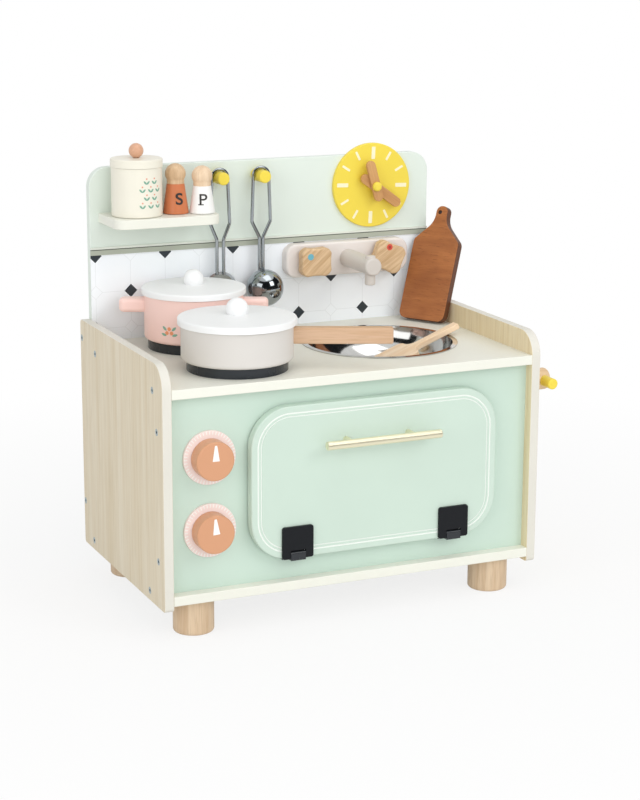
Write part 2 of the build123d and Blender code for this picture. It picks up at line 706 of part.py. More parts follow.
# ---- Pegs with the skimmer and the ladle ----
peg_z = worktop_top + peg_rise
wire_y = back_front - wire_setback
loop_radius = peg_radius + seat_gap + wire_radius
pegs = [rod(peg_radius, (x, back_front, peg_z), (x, back_front - peg_reach, peg_z)) for x in peg_xs]
parts["utensil_pegs"] = [fillet(end_edges(p, Axis.Y, last=False), 1.5) for p in pegs]


def wire_handle(x, spread, shoulder, foot_drop):
    """One bent wire: a loop over the peg that closes to two bars side by side."""
    touch = acos(loop_radius / hypot(shoulder, shoulder_drop)) - atan2(shoulder_drop, shoulder)
    start = (loop_radius * cos(touch), loop_radius * sin(touch))
    side = ((spread, -foot_drop), (spread, -waist_drop), (shoulder, -shoulder_drop), start)
    right = FilletPolyline(*side, radius=bend_radius)
    left = FilletPolyline(*[(-u, v) for u, v in reversed(side)], radius=bend_radius)
    loop = ThreePointArc(start, (0, loop_radius), (-start[0], start[1]))
    path = upright(x, wire_y, peg_z) * Wire(right.edges() + loop.edges() + left.edges())
    section = Plane(origin=path @ 0, z_dir=path % 0) * Circle(wire_radius)
    return sweep(section, path=path)


skimmer_x, ladle_x = peg_xs
skimmer_z = peg_z - skimmer_drop
parts["skimmer_handle"] = wire_handle(skimmer_x, skimmer_spread, skimmer_shoulder,
                                      skimmer_drop - skimmer_radius + weld)
dish_radius = (skimmer_radius ** 2 + skimmer_depth ** 2) / (2 * skimmer_depth)
dish_centre = Pos(skimmer_x, wire_y - dish_radius + skimmer_depth, skimmer_z)
dish = dish_centre * (Sphere(dish_radius) - Sphere(dish_radius - sheet_steel))
dish &= rod(skimmer_radius, (skimmer_x, wire_y, skimmer_z), (skimmer_x, back_front, skimmer_z))
for i in range(skimmer_hole_count):
    turn = 2 * pi * i / skimmer_hole_count
    x = skimmer_x + skimmer_hole_circle * cos(turn)
    z = skimmer_z + skimmer_hole_circle * sin(turn)
    dish -= rod(skimmer_hole_radius, (x, wire_y - 1, z), (x, back_front, z))
parts["skimmer_blade"] = dish - parts["skimmer_handle"]

ladle_z = peg_z - ladle_drop
ladle_rim_y = wire_y - 0.4
ladle_centre = Pos(ladle_x, ladle_rim_y - ladle_rim_setback, ladle_z)
ladle = ladle_centre * (Sphere(ladle_radius) - Sphere(ladle_radius - sheet_steel))
ladle -= block(ladle_x - 30, ladle_x + 30, ladle_rim_y, ladle_rim_y + 30, ladle_z - 30, ladle_z + 30)
ladle_rim_radius = sqrt(ladle_radius ** 2 - ladle_rim_setback ** 2)
parts["ladle_handle"] = wire_handle(ladle_x, ladle_spread, ladle_shoulder,
                                    ladle_drop - ladle_rim_radius + weld)
parts["ladle_bowl"] = ladle - parts["ladle_handle"]

# ---- Canister with its lid and ball ----
canister_place = Pos(canister_x, canister_y, shelf_top + seat_gap)
up = (Align.CENTER, Align.CENTER, Align.MIN)
canister = Cylinder(canister_radius, canister_height, align=up)
canister -= Pos(0, 0, canister_floor) * Cylinder(canister_radius - canister_wall, canister_height, align=up)
canister = fillet(canister.edges().sort_by(Axis.Z)[0], 1.0)
lid = Cylinder(canister_lid_radius, canister_lid_height, align=up)
lid = fillet(end_edges(lid, Axis.Z), 1.5)
lid += Pos(0, 0, -canister_floor) * Cylinder(canister_radius - canister_wall - 0.5, canister_floor, align=up)
ball = Pos(0, 0, canister_lid_height + canister_knob_rise) * Sphere(canister_knob_radius)
lid_place = canister_place * Pos(0, 0, canister_height + seat_gap)
parts["canister"] = canister_place * canister
parts["canister_lid"] = lid_place * lid
parts["canister_lid_knob"] = lid_place * (ball - lid)

# ---- Salt and pepper shakers: cone and ball head on a neck ----
for name, x, setback, height in zip(("salt", "pepper"), (salt_x, pepper_x), shaker_setbacks, shaker_heights):
    place = Pos(x, back_front - setback, shelf_top + seat_gap)
    cone = Cone(shaker_base_radius, shaker_top_radius, height, align=up)
    cone = fillet(end_edges(cone, Axis.Z) + end_edges(cone, Axis.Z, last=False), 0.8)
    ball = Pos(0, 0, height + shaker_head_rise) * Sphere(shaker_head_radius)
    below = Cylinder(shaker_head_radius, shaker_head_radius, align=up)
    ball -= Pos(0, 0, height - shaker_head_radius) * below
    neck = Pos(0, 0, height - shaker_neck_depth) * Cylinder(shaker_neck_radius, shaker_neck_depth, align=up)
    collar = Pos(0, 0, height) * Cylinder(shaker_collar_radius, shaker_head_rise, align=up)
    parts[name + "_body"] = place * (cone - neck)
    parts[name + "_head"] = place * (ball + collar + neck)

# ---- Cutting board, leaning on the right side panel and the splashback ----
turn, lean = radians(cutting_turn), radians(cutting_lean)
back_way = (-sin(turn), cos(turn))
bottom_z = worktop_top + seat_gap + cutting_thickness * sin(lean)


def cutting_set_back(z):
    """How far the back of the board stands behind its bottom edge at a height."""
    return (z - bottom_z) * tan(lean) + cutting_thickness / cos(lean)


corner_z = bottom_z + cutting_shoulder * cos(lean)
cutting_x = (inner_half - turn_gap - cutting_width / 2 * cos(turn)
             - back_way[0] * cutting_set_back(side_top))
cutting_y = (tile_front - turn_gap + cutting_width / 2 * sin(turn)
             - back_way[1] * cutting_set_back(corner_z))
along = (cos(turn), sin(turn), 0)
face_out = (-back_way[0] * cos(lean), -back_way[1] * cos(lean), sin(lean))
cutting_plane = Plane(origin=(cutting_x, cutting_y, bottom_z), x_dir=along, z_dir=face_out)
half_body, half_stem = cutting_width / 2, cutting_handle_width / 2
outline = [(half_body, 0), (half_body, cutting_shoulder),
           (half_stem, cutting_neck), (half_stem, cutting_length)]
outline += [(-u, v) for u, v in reversed(outline)]
paddle = make_face(Polyline(*outline, close=True))
corners = [v for v in paddle.vertices() if v.Y < cutting_shoulder + 0.1]
paddle = fillet(corners, cutting_corner_radius)
necks = [v for v in paddle.vertices() if abs(v.Y - cutting_neck) < 0.1]
paddle = fillet(necks, cutting_neck_radius)
tops = [v for v in paddle.vertices() if v.Y > cutting_length - 0.1]
paddle = fillet(tops, half_stem - 0.5)
paddle -= Pos(cutting_hole_shift, cutting_length - half_stem) * Circle(cutting_hole_radius)
cutting_board = extrude(paddle, amount=-cutting_thickness)
cutting_board = fillet(cutting_board.faces().sort_by(Axis.Z)[-1].outer_wire().edges(), 0.8)
parts["cutting_board"] = cutting_plane * cutting_board

# ---- Towel rail on the right side panel ----
rail_x = half + rail_stand_off
rail_back = depth - rail_front
rail = rod(rail_radius, (rail_x, rail_front, rail_rise), (rail_x, rail_back, rail_rise))
rail = fillet(end_edges(rail, Axis.Y) + end_edges(rail, Axis.Y, last=False), 1.5)
rail_posts = []
for y in (rail_front + rail_post_setback, rail_back - rail_post_setback):
    post = rod(rail_post_radius, (half, y, rail_rise), (rail_x + rail_post_cap, y, rail_rise))
    rail_posts.append(fillet(end_edges(post, Axis.X), 4.0) - rail)
parts["towel_rail"] = rail
parts["towel_rail_posts"] = rail_posts

# ---- Screws ----
panel_mid = front_recess + board / 2
back_mid = depth - board / 2
worktop_mid, base_mid = worktop_top - board / 2, foot_height + board / 2
side_screws = (("worktop", 27.0, worktop_mid), ("worktop", back_front - 37.5, worktop_mid),
               ("base_board", 42.0, base_mid), ("base_board", back_front - 21.5, base_mid),
               ("front_panel", panel_mid, base_top + 31.7), ("front_panel", panel_mid, worktop_top - 42.5),
               ("back_board", back_mid, base_top + 31.0), ("back_board", back_mid, side_top - 18.8))
for into, y, z in side_screws:
    fasten((-half, y, z), (1, 0, 0), screw_length, "left_side_panel", into)
    fasten((half, y, z), (-1, 0, 0), screw_length, "right_side_panel", into)

for x in (shelf_left + 20, shelf_left + shelf_length - 20):
    fasten((x, depth, shelf_top - board / 2), (0, -1, 0), screw_length, "back_board", "shelf")
for x in (faucet_x - 20, faucet_x + 20):
    fasten((x, depth, faucet_z), (0, -1, 0), short_screw_length,
           "back_board", "tile_splashback", "faucet_plate")
fasten((faucet_x, depth, faucet_z), (0, -1, 0), board + faucet_thickness + short_screw_length,
       "back_board", "tile_splashback", "faucet_plate", "faucet_spout")
for x in (clock_x - 20, clock_x + 20):
    fasten((x, depth, clock_z), (0, -1, 0), board + clock_screw_bite, "back_board", "clock_face")
for i, x in enumerate(peg_xs):
    shank = screw((x, depth, peg_z), (0, -1, 0), screw_length)
    parts["utensil_pegs"][i] -= shank
    fasten((x, depth, peg_z), (0, -1, 0), screw_length, "back_board")
for i, (x, y) in enumerate([(x, y) for x in (-foot_x, foot_x) for y in foot_ys]):
    shank = screw((x, y, base_top), (0, 0, -1), screw_length)
    parts["feet"][i] -= shank
    fasten((x, y, base_top), (0, 0, -1), screw_length, "base_board")
for i, y in enumerate((rail_front + rail_post_setback, rail_back - rail_post_setback)):
    shank = screw((inner_half, y, rail_rise), (1, 0, 0), board + rail_stand_off / 2)
    parts["towel_rail_posts"][i] -= shank
    fasten((inner_half, y, rail_rise), (1, 0, 0), board + rail_stand_off / 2, "right_side_panel")
parts["cabinet_screws"] = screws

# ---- Origin under the middle of the whole toy, and one file for each piece ----
solids = {name: Compound(children=[s for p in (shape if isinstance(shape, list) else [shape])
                                   for s in p.solids()])
          for name, shape in parts.items()}
extent = Compound(children=[shape.moved(Location()) for shape in solids.values()]).bounding_box()
origin_x = (extent.min.X + extent.max.X) / 2
origin_y = (extent.min.Y + extent.max.Y) / 2
to_origin = Location((-origin_x, -origin_y, 0))
os.makedirs("parts", exist_ok=True)
for name, shape in solids.items():
    export_step(shape.moved(to_origin), f"parts/{name}.step")
print(len(solids), "nodes; origin offset", round(origin_x, 3), round(origin_y, 3),
      "size", extent.size)
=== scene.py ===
from math import cos, pi, radians, sin

import bpy
from mathutils import Matrix, Vector


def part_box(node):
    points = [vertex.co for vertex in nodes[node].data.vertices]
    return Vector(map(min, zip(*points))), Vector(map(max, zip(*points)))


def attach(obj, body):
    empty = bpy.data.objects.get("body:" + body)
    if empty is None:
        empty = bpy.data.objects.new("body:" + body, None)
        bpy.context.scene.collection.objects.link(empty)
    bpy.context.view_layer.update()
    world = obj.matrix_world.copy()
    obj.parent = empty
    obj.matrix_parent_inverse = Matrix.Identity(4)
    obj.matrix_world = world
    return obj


# Toy kitchen with an oven: painted boards, a drop-down oven door, pans on two hotplates, a
# steel sink with wooden taps, a clock, a shelf with its pots and a towel rail. Metres, with
# X to the right, Y to the back and Z up from the floor.
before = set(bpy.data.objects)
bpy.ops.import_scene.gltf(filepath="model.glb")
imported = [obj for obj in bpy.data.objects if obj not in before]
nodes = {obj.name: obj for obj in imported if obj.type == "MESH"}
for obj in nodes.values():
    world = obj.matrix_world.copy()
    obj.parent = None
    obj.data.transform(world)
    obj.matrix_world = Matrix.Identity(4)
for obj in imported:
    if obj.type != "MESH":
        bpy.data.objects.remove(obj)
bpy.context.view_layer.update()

# ---- Camera ----
# It stands at a child's height in front of the toy and well to its left, looking slightly
# down.
stand = (-0.8181, -1.805275, 0.67935)
look_turn, look_down, look_roll = radians(24.31), radians(13.80), radians(0.27)
ahead = Vector((sin(look_turn) * cos(look_down), cos(look_turn) * cos(look_down), -sin(look_down)))
level = Vector((cos(look_turn), -sin(look_turn), 0.0))
over = level.cross(ahead)
side = level * cos(look_roll) + over * sin(look_roll)
top = over * cos(look_roll) - level * sin(look_roll)
camera_lens = bpy.data.cameras.new("camera")
camera_lens.lens = 90.58
camera_lens.sensor_width = 36.0
camera = bpy.data.objects.new("camera", camera_lens)
camera.matrix_world = Matrix.Translation(stand) @ Matrix((side, top, -ahead)).transposed().to_4x4()
bpy.context.scene.collection.objects.link(camera)
bpy.context.scene.camera = camera
bpy.context.scene.view_settings.view_transform = "Standard"


# ---- Floor, surroundings and lamps ----
# A pale seamless studio: the floor and the surroundings are white to the eye and in
# polished metal, and light the toy only softly. One broad lamp stands to the right in front.
class Wire:
    """A link between a material's nodes. Sums on it add the nodes that work them out."""

    def __init__(self, tree, socket=None):
        self.tree, self.socket = tree, socket

    def node(self, kind, settings=None, sockets=None, output=0):
        made = self.tree.nodes.new(kind)
        for name, value in (settings or {}).items():
            setattr(made, name, value)
        for name, value in (sockets or {}).items():
            if isinstance(value, Wire):
                self.tree.links.new(value.socket, made.inputs[name])
            else:
                made.inputs[name].default_value = value
        return Wire(self.tree, made.outputs[output] if len(made.outputs) else None)

    def sum(self, operation, first, second=0.0):
        return self.node("ShaderNodeMath", {"operation": operation}, {0: first, 1: second})

    def __add__(self, other):
        return self.sum("ADD", self, other)

    __radd__ = __add__

    def __sub__(self, other):
        return self.sum("SUBTRACT", self, other)

    def __rsub__(self, other):
        return self.sum("SUBTRACT", other, self)

    def __mul__(self, other):
        return self.sum("MULTIPLY", self, other)

    __rmul__ = __mul__

    def __truediv__(self, other):
        return self.sum("DIVIDE", self, other)

    def __abs__(self):
        return self.sum("ABSOLUTE", self)

    def __lt__(self, other):
        return self.sum("LESS_THAN", self, other)

    def __gt__(self, other):
        return self.sum("GREATER_THAN", self, other)

    def __or__(self, other):
        return self.sum("MAXIMUM", self, other)

    def __and__(self, other):
        return self.sum("MINIMUM", self, other)


def looked_along(start):
    """One for a ray that the eye follows, straight or by way of polish or glass."""
    return (start.node("ShaderNodeLightPath", output="Is Camera Ray")
            | start.node("ShaderNodeLightPath", output="Is Glossy Ray")
            | start.node("ShaderNodeLightPath", output="Is Transmission Ray"))


white_to_the_eye = {"Color": (1.0, 1.0, 1.0, 1.0), "Strength": 1.0}
surroundings = bpy.data.worlds.new("studio")
bpy.context.scene.world = surroundings
surroundings.use_nodes = True
surroundings.node_tree.nodes.clear()
start = Wire(surroundings.node_tree)
soft = start.node("ShaderNodeBackground", None, {"Color": (0.99, 0.995, 1.0, 1.0), "Strength": 0.62})
plain = start.node("ShaderNodeBackground", None, white_to_the_eye)
start.node("ShaderNodeOutputWorld", None, {
    "Surface": start.node("ShaderNodeMixShader", None, {0: looked_along(start), 1: soft, 2: plain})})

bpy.ops.object.select_all(action="DESELECT")
bpy.ops.mesh.primitive_plane_add(size=9.0, location=(0.0, 0.0, 0.0))
floor = bpy.context.object
floor.name = "studio_floor"
pale_floor = bpy.data.materials.new("pale_floor")
pale_floor.use_nodes = True
pale_floor.node_tree.nodes.clear()
start = Wire(pale_floor.node_tree)
away = start.node("ShaderNodeVectorMath", {"operation": "LENGTH"}, {
    0: start.node("ShaderNodeTexCoord", output="Object")}, "Value")
whiteness = start.node("ShaderNodeMapRange", None, {
    "Value": away, "From Min": 0.25, "From Max": 0.9, "To Min": 0.8, "To Max": 1.0})
matt = start.node("ShaderNodeBsdfDiffuse", None, {"Color": (0.86, 0.86, 0.85, 1.0)})
glow = start.node("ShaderNodeEmission", None, white_to_the_eye)
start.node("ShaderNodeOutputMaterial", None, {
    "Surface": start.node("ShaderNodeMixShader", None, {
        0: looked_along(start) * whiteness, 1: matt, 2: glow})})
floor.data.materials.append(pale_floor)

# Black cloth hung round the front of the studio, seen only in polished metal
bpy.ops.object.select_all(action="DESELECT")
bpy.ops.mesh.primitive_cylinder_add(vertices=48, radius=3.3, depth=4.0, end_fill_type="NOTHING",
                                    location=(0.0, 0.0, 2.1))
cloth = bpy.context.object
cloth.name = "studio_black_cloth"
bpy.ops.object.transform_apply(location=True, rotation=True, scale=True)
bpy.ops.object.mode_set(mode="EDIT")
bpy.ops.mesh.select_all(action="SELECT")
bpy.ops.mesh.bisect(plane_co=(0.0, 0.3, 0.0), plane_no=(0.0, 1.0, 0.0), clear_outer=True)
bpy.ops.object.mode_set(mode="OBJECT")
black_cloth = bpy.data.materials.new("black_cloth")
black_cloth.use_nodes = True
black_cloth.node_tree.nodes.clear()
start = Wire(black_cloth.node_tree)
start.node("ShaderNodeOutputMaterial", None, {
    "Surface": start.node("ShaderNodeBsdfDiffuse", None, {"Color": (0.02, 0.022, 0.025, 1.0)})})
cloth.data.materials.append(black_cloth)
cloth.visible_camera = cloth.visible_transmission = False
cloth.visible_diffuse = cloth.visible_shadow = False

# Four lamps; the low one in front doesn't show in polished metal
for name, place, aim, size, power in (
        ("broad_lamp", (1.25, -2.3, 1.9), (0.0, 0.0, 0.2), 1.3, 18.0),
        ("front_lamp", (-0.3, -2.5, 0.9), (0.0, 0.1, 0.3), 1.6, 14.5),
        ("fill_lamp", (-2.2, -1.2, 1.1), (0.0, 0.0, 0.2), 1.6, 14.5),
        ("top_lamp", (0.2, -0.6, 2.4), (0.0, 0.0, 0.2), 1.4, 8.5)):
    lamp = bpy.data.lights.new(name, "AREA")
    lamp.shape, lamp.size, lamp.energy = "SQUARE", size, power
    holder = bpy.data.objects.new(name, lamp)
    holder.location = place
    holder.rotation_euler = (Vector(aim) - Vector(place)).to_track_quat("-Z", "Y").to_euler()
    holder.visible_glossy = name != "front_lamp"
    bpy.context.scene.collection.objects.link(holder)


# ---- Cabinet boards ----
# Fibreboard with broken edges, butted and screwed, and sprayed: cream worktop, base and
# shelf, mint front and a paler back. The two side panels carry a whitewashed ash veneer on
# their faces.
def tint(code, deeper=1.0):
    """A colour from its six-digit code, as light values, made deeper or paler."""
    parts = [int(code[i:i + 2], 16) / 255 for i in (0, 2, 4)]
    return (*[min(1.0, deeper * (c / 12.92 if c <= 0.04045 else ((c + 0.055) / 1.055) ** 2.4))
              for c in parts], 1.0)


def finish(name):
    """Start a material, and return it with a wire for its nodes."""
    material = bpy.data.materials.new(name)
    material.use_nodes = True
    material.node_tree.nodes.clear()
    return material, Wire(material.node_tree)


def skin(start, **sockets):
    """The visible surface of a material, its sockets named with _ for a space."""
    shader = start.node("ShaderNodeBsdfPrincipled", None,
                        {name.replace("_", " "): value for name, value in sockets.items()})
    start.node("ShaderNodeOutputMaterial", None, {"Surface": shader})


def mingle(start, share, first, second):
    """Colour between two others."""
    return start.node("ShaderNodeMix", {"data_type": "RGBA"}, {0: share, 6: first, 7: second}, 2)


def noise(start, place, scale, detail=2.0, wander=0.0):
    return start.node("ShaderNodeTexNoise", None,
                      {"Vector": place, "Scale": scale, "Detail": detail, "Distortion": wander})


def axes(start, place):
    """The three coordinates of a place, one wire each."""
    return [start.node("ShaderNodeSeparateXYZ", None, {0: place}, i) for i in range(3)]


def sprayed(start, place, code, roughness, peel):
    """Sockets of a sprayed coat: faintly cloudy colour, orange peel and uneven gloss."""
    cloud = noise(start, place, 11.0, 4.0)
    speck = noise(start, place, 520.0, 2.0)
    return {"Base_Color": mingle(start, cloud, tint(code, 0.95), tint(code, 1.04)),
            "Roughness": noise(start, place, 60.0, 3.0) * 0.16 + (roughness - 0.08),
            "Normal": start.node("ShaderNodeBump", None, {
                "Height": speck, "Strength": 0.5, "Distance": peel})}


def paint(name, code, roughness=0.42, peel=0.00006, **sockets):
    material, start = finish(name)
    place = start.node("ShaderNodeTexCoord", output="Object")
    skin(start, **sprayed(start, place, code, roughness, peel), **sockets)
    return material


def grained(start, place, streak, pale, dark, turn=(0.0, 0.0, 0.0), depth=0.0001, figure=1.0):
    """Colour, roughness and bump of wood. A streak of its grain is that long along each axis
    of a piece that is turned that way."""
    laid = start.node("ShaderNodeMapping", {"vector_type": "TEXTURE"},
                      {"Vector": place, "Rotation": turn, "Scale": streak})
    band = noise(start, laid, 1.0, 3.0, 0.5)
    pore = noise(start, laid, 4.5, 3.0)
    wide = start.node("ShaderNodeMapRange", None, {
        "Value": band, "From Min": 0.34, "From Max": 0.68, "To Min": 0.0, "To Max": figure})
    fine = start.node("ShaderNodeMapRange", None, {
        "Value": pore, "From Min": 0.5, "From Max": 0.75, "To Min": 0.0, "To Max": 0.5 * figure})
    shade = mingle(start, wide, tint(pale), tint(dark))
    shade = mingle(start, fine, shade, tint(dark, 0.8))
    return {"Base_Color": shade, "Roughness": pore * 0.25 + 0.38,
            "Normal": start.node("ShaderNodeBump", None, {
                "Height": pore * -0.6 - band * 0.4, "Strength": 0.45, "Distance": depth})}


def timber(name, streak, pale, dark, **kind):
    material, start = finish(name)
    place = start.node("ShaderNodeTexCoord", output="Object")
    skin(start, **grained(start, place, streak, pale, dark, **kind))
    return material


def coat(node, material):
    """Give a CAD node its finish."""
    for slot in nodes[node].material_slots:
        slot.material = material


cream = paint("cream_paint", "EAEADF")
mint = paint("mint_paint", "C8DCCF")
pale_mint = paint("pale_mint_paint", "DFE9E0")
for node in ("worktop", "base_board", "shelf"):
    coat(node, cream)
coat("front_panel", mint)
coat("back_board", pale_mint)

# Side panels: veneer on both faces, cream along the broken edges
edge_from_face, veneer_depth = 0.0005, 0.00005
# The one veneer is painted darker and greyer on the left panel and paler and yellower on the right:
# painted shade on the left's outer face, painted light on the right's inner face.
for panel, pale, dark in (("left_side_panel", "E1D6BF", "D5C5A6"),
                          ("right_side_panel", "ECDDBB", "E0CCA2")):
    veneer, start = finish(panel + "_ash_veneer")
    place = start.node("ShaderNodeTexCoord", output="Object")
    low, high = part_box(panel)
    from_middle = abs(axes(start, place)[0] - (low.x + high.x) / 2)
    half_board = (high.x - low.x) / 2
    face = start.node("ShaderNodeMapRange", None, {
        "Value": from_middle, "From Min": half_board - edge_from_face,
        "From Max": half_board - veneer_depth, "To Min": 0.0, "To Max": 1.0})
    wood = grained(start, place, (0.009, 0.009, 0.22), pale, dark, depth=0.00006, figure=0.85)
    edge = sprayed(start, place, "DEDBD1", 0.42, 0.00006)
    skin(start, Base_Color=mingle(start, face, edge["Base_Color"], wood["Base_Color"]),
         Roughness=wood["Roughness"], Normal=wood["Normal"])
    coat(panel, veneer)

# ---- Feet ----
# Four turned beech pegs, oiled, with the grain running up and their lower edge rounded.
# Each is screwed on from inside the cabinet, through the base board.
beech = timber("beech", (0.006, 0.006, 0.09), "DCC4A6", "CDB08F")
coat("feet", beech)

# ---- Screws ----
# Steel countersunk screws with a hexagon socket and a blue-grey plating, flush with the
# side panels, the back and the base.
blued, start = finish("blued_steel")
place = start.node("ShaderNodeTexCoord", output="Object")
scuff = noise(start, place, 700.0, 3.0)
skin(start, Base_Color=mingle(start, scuff, tint("8E9DA3"), tint("B6C2C4")), Metallic=1.0,
     Roughness=scuff * 0.3 + 0.22)
coat("cabinet_screws", blued)

# ---- Splashback ----
# A printed sheet of octagon and dot tiles in white, with black dots in every other place,
# under a grey-green edging strip with a groove that is painted dark as shade.
tiles, start = finish("printed_tiles")
place = start.node("ShaderNodeTexCoord", output="Object")
tile_pitch, tile_middle, tile_row = 0.0375, -0.0102, 0.296
dot_reach, outline_reach, joint_reach = 0.184, 0.011, 0.0077     # in tiles
across, _, up = axes(start, place)
column = (across - tile_middle) / tile_pitch
row = (up - tile_row) / tile_pitch
near_column, near_row = start.sum("ROUND", column), start.sum("ROUND", row)
aside, above = abs(column - near_column), abs(row - near_row)
reach = aside + above
odd = abs(start.sum("MODULO", near_column + near_row, 2.0)) > 0.5
dots = reach < dot_reach
outline = (abs(reach - dot_reach) < outline_reach) & odd
joint = ((aside < joint_reach) | (above < joint_reach)) & (reach > dot_reach)
ink = dots & (1 - odd)
lines = outline | joint
cloud = noise(start, place, 30.0, 3.0)
sheet = mingle(start, cloud, tint("F4F9FF"), tint("F9FDFF"))
sheet = mingle(start, lines * 0.4, sheet, tint("D3D8DA"))
sheet = mingle(start, ink, sheet, mingle(start, cloud, tint("232A30"), tint("343D44")))
skin(start, Base_Color=sheet, Roughness=noise(start, place, 80.0, 2.0) * 0.1 + 0.3,
     Normal=start.node("ShaderNodeBump", None, {"Height": lines * -1.0 + ink * 0.3, "Strength": 0.3,
                                                "Distance": 0.00008}))
coat("tile_splashback", tiles)

lip_height, groove_height, groove_shade_reach = 0.3403, 0.33986, 0.00045
strip, start = finish("edging_strip")
place = start.node("ShaderNodeTexCoord", output="Object")
up = axes(start, place)[2]
worn = noise(start, place, 45.0, 4.0)
band = mingle(start, worn, tint("A8AE9F"), tint("B3B8AA"))
band = mingle(start, up > lip_height, band, tint("DDE2D8"))
# The dark line along the groove is painted shade.
band = mingle(start, abs(up - groove_height) < groove_shade_reach, band, tint("6E7468"))
skin(start, Base_Color=band, Roughness=worn * 0.12 + 0.4)
coat("splashback_trim", strip)

# ---- Oven door ----
# Mint board with two routed lines round it, a brass bar on two posts and black steel
# hinges let into its lower edge, where the door is painted near black behind their notches as painted
# shade.
door_radius, face_depth = 0.040, 0.002
outer_line, outer_reach = 0.00695, 0.00072
inner_line, inner_reach = 0.01025, 0.00062
hinge_offset, notch_reach, notch_height = 0.08425, 0.0079, 0.0086
door, start = finish("mint_door_paint")
place = start.node("ShaderNodeTexCoord", output="Object")
across, outwards, up = axes(start, place)
low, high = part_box("door_panel")
door_middle = (low + high) / 2
on_face = outwards < low.y + face_depth
reach_x = abs(across - door_middle.x) - ((high.x - low.x) / 2 - door_radius)
reach_z = abs(up - door_middle.z) - ((high.z - low.z) / 2 - door_radius)
past_x, past_z = start.sum("POWER", reach_x | 0.0, 2.0), start.sum("POWER", reach_z | 0.0, 2.0)
inset = door_radius - start.sum("SQRT", past_x + past_z) - ((reach_x | reach_z) & 0.0)
lines = (abs(inset - outer_line) < outer_reach) | (abs(inset - inner_line) < inner_reach)
lines = lines & on_face
coat_of_door = sprayed(start, place, "C9DBCE", 0.42, 0.00006)
coat_of_door["Base_Color"] = mingle(start, lines * 0.8, coat_of_door["Base_Color"], tint("F8FAF6"))
# Behind each hinge notch the door's face is painted near black: painted shade of the notch.
notch_shade = abs(abs(across - door_middle.x) - hinge_offset) < notch_reach
notch_shade = notch_shade & (up < low.z + notch_height) & on_face
coat_of_door["Base_Color"] = mingle(start, notch_shade, coat_of_door["Base_Color"], tint("1B1D20"))
skin(start, **coat_of_door)
coat("door_panel", door)

brass, start = finish("brushed_brass")
place = start.node("ShaderNodeTexCoord", output="Object")
laid = start.node("ShaderNodeMapping", {"vector_type": "TEXTURE"},
                  {"Vector": place, "Scale": (0.05, 0.0007, 0.0007)})
brushed = noise(start, laid, 1.0, 3.0)
skin(start, Base_Color=mingle(start, brushed, tint("F3EAC6"), tint("FAF5DF")), Metallic=1.0,
     Roughness=brushed * 0.14 + 0.34,
     Normal=start.node("ShaderNodeBump", None, {"Height": brushed, "Strength": 0.3, "Distance": 0.00003}))
coat("door_handle_bar", brass)
coat("door_handle_posts", brass)

black_enamel = paint("black_enamel", "17191D", 0.42, 0.00012, Specular_IOR_Level=0.2)
coat("door_hinge_leaves", black_enamel)
coat("hinge_pins", black_enamel)
coat("frame_hinge_leaves", paint("black_knuckle", "22262B", 0.24, 0.00004))


# ---- Oven knobs ----
# Two turned wooden knobs in peach paint, each with a white printed pointer, on pink dials
# with a ring of fine white marks. A beech axle with a head holds each one behind the front.
peach = paint("peach_paint", "D49B76", 0.38, 0.00005)
blush = paint("blush_paint", "F2E0DB", 0.42, 0.00005)
chalk = paint("white_print", "F6F5F1", 0.5, 0.00003)
axle_beech = timber("axle_beech", (0.006, 0.09, 0.006), "DCC4A6", "CDB08F")
for knob in ("upper_knob", "lower_knob"):
    coat(knob, peach)
    coat(knob + "_axle", axle_beech)
coat("knob_dials", blush)

print_depth = 0.00015    # of every printed mark


def settle(piece, material, body):
    """Finish a piece: its place into its mesh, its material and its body."""
    bpy.ops.object.transform_apply(location=True, rotation=True, scale=True)
    piece.data.materials.clear()
    piece.data.materials.append(material)
    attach(piece, body)


def plaque(name, width, height, taper=1.0, corner=0.0):
    """A thin raised print: a plate round the origin that faces the front, with rounded
    corners, and narrower at its top by taper."""
    bpy.ops.object.select_all(action="DESELECT")
    bpy.ops.mesh.primitive_plane_add(size=1.0, rotation=(pi / 2, 0.0, 0.0))
    piece = bpy.context.object
    piece.name = name
    piece.scale = (width, height, 1.0)
    bpy.ops.object.transform_apply(location=True, rotation=True, scale=True)
    for point in piece.data.vertices:
        if point.co.z > 0:
            point.co.x *= taper
    bpy.ops.object.mode_set(mode="EDIT")
    bpy.ops.mesh.select_all(action="SELECT")
    if corner:
        bpy.ops.mesh.bevel(offset=corner, segments=3, affect="VERTICES")
        bpy.ops.mesh.select_all(action="SELECT")
    bpy.ops.mesh.extrude_region_move(TRANSFORM_OT_translate={"value": (0.0, -print_depth, 0.0)})
    bpy.ops.mesh.select_all(action="SELECT")
    bpy.ops.mesh.normals_make_consistent(inside=False)
    bpy.ops.object.mode_set(mode="OBJECT")
    return piece


def copy_of(piece, name, change):
    """A copy of a piece with its own mesh, moved by a matrix."""
    twin = piece.copy()
    twin.data = piece.data.copy()
    twin.data.transform(change)
    twin.name = name
    bpy.context.scene.collection.objects.link(twin)
    return twin


def unite(pieces, name):
    """Join pieces into the first of them."""
    bpy.ops.object.select_all(action="DESELECT")
    for piece in pieces:
        piece.select_set(True)
    bpy.context.view_layer.objects.active = pieces[0]
    if len(pieces) > 1:
        bpy.ops.object.join()
    pieces[0].name = name
    return pieces[0]


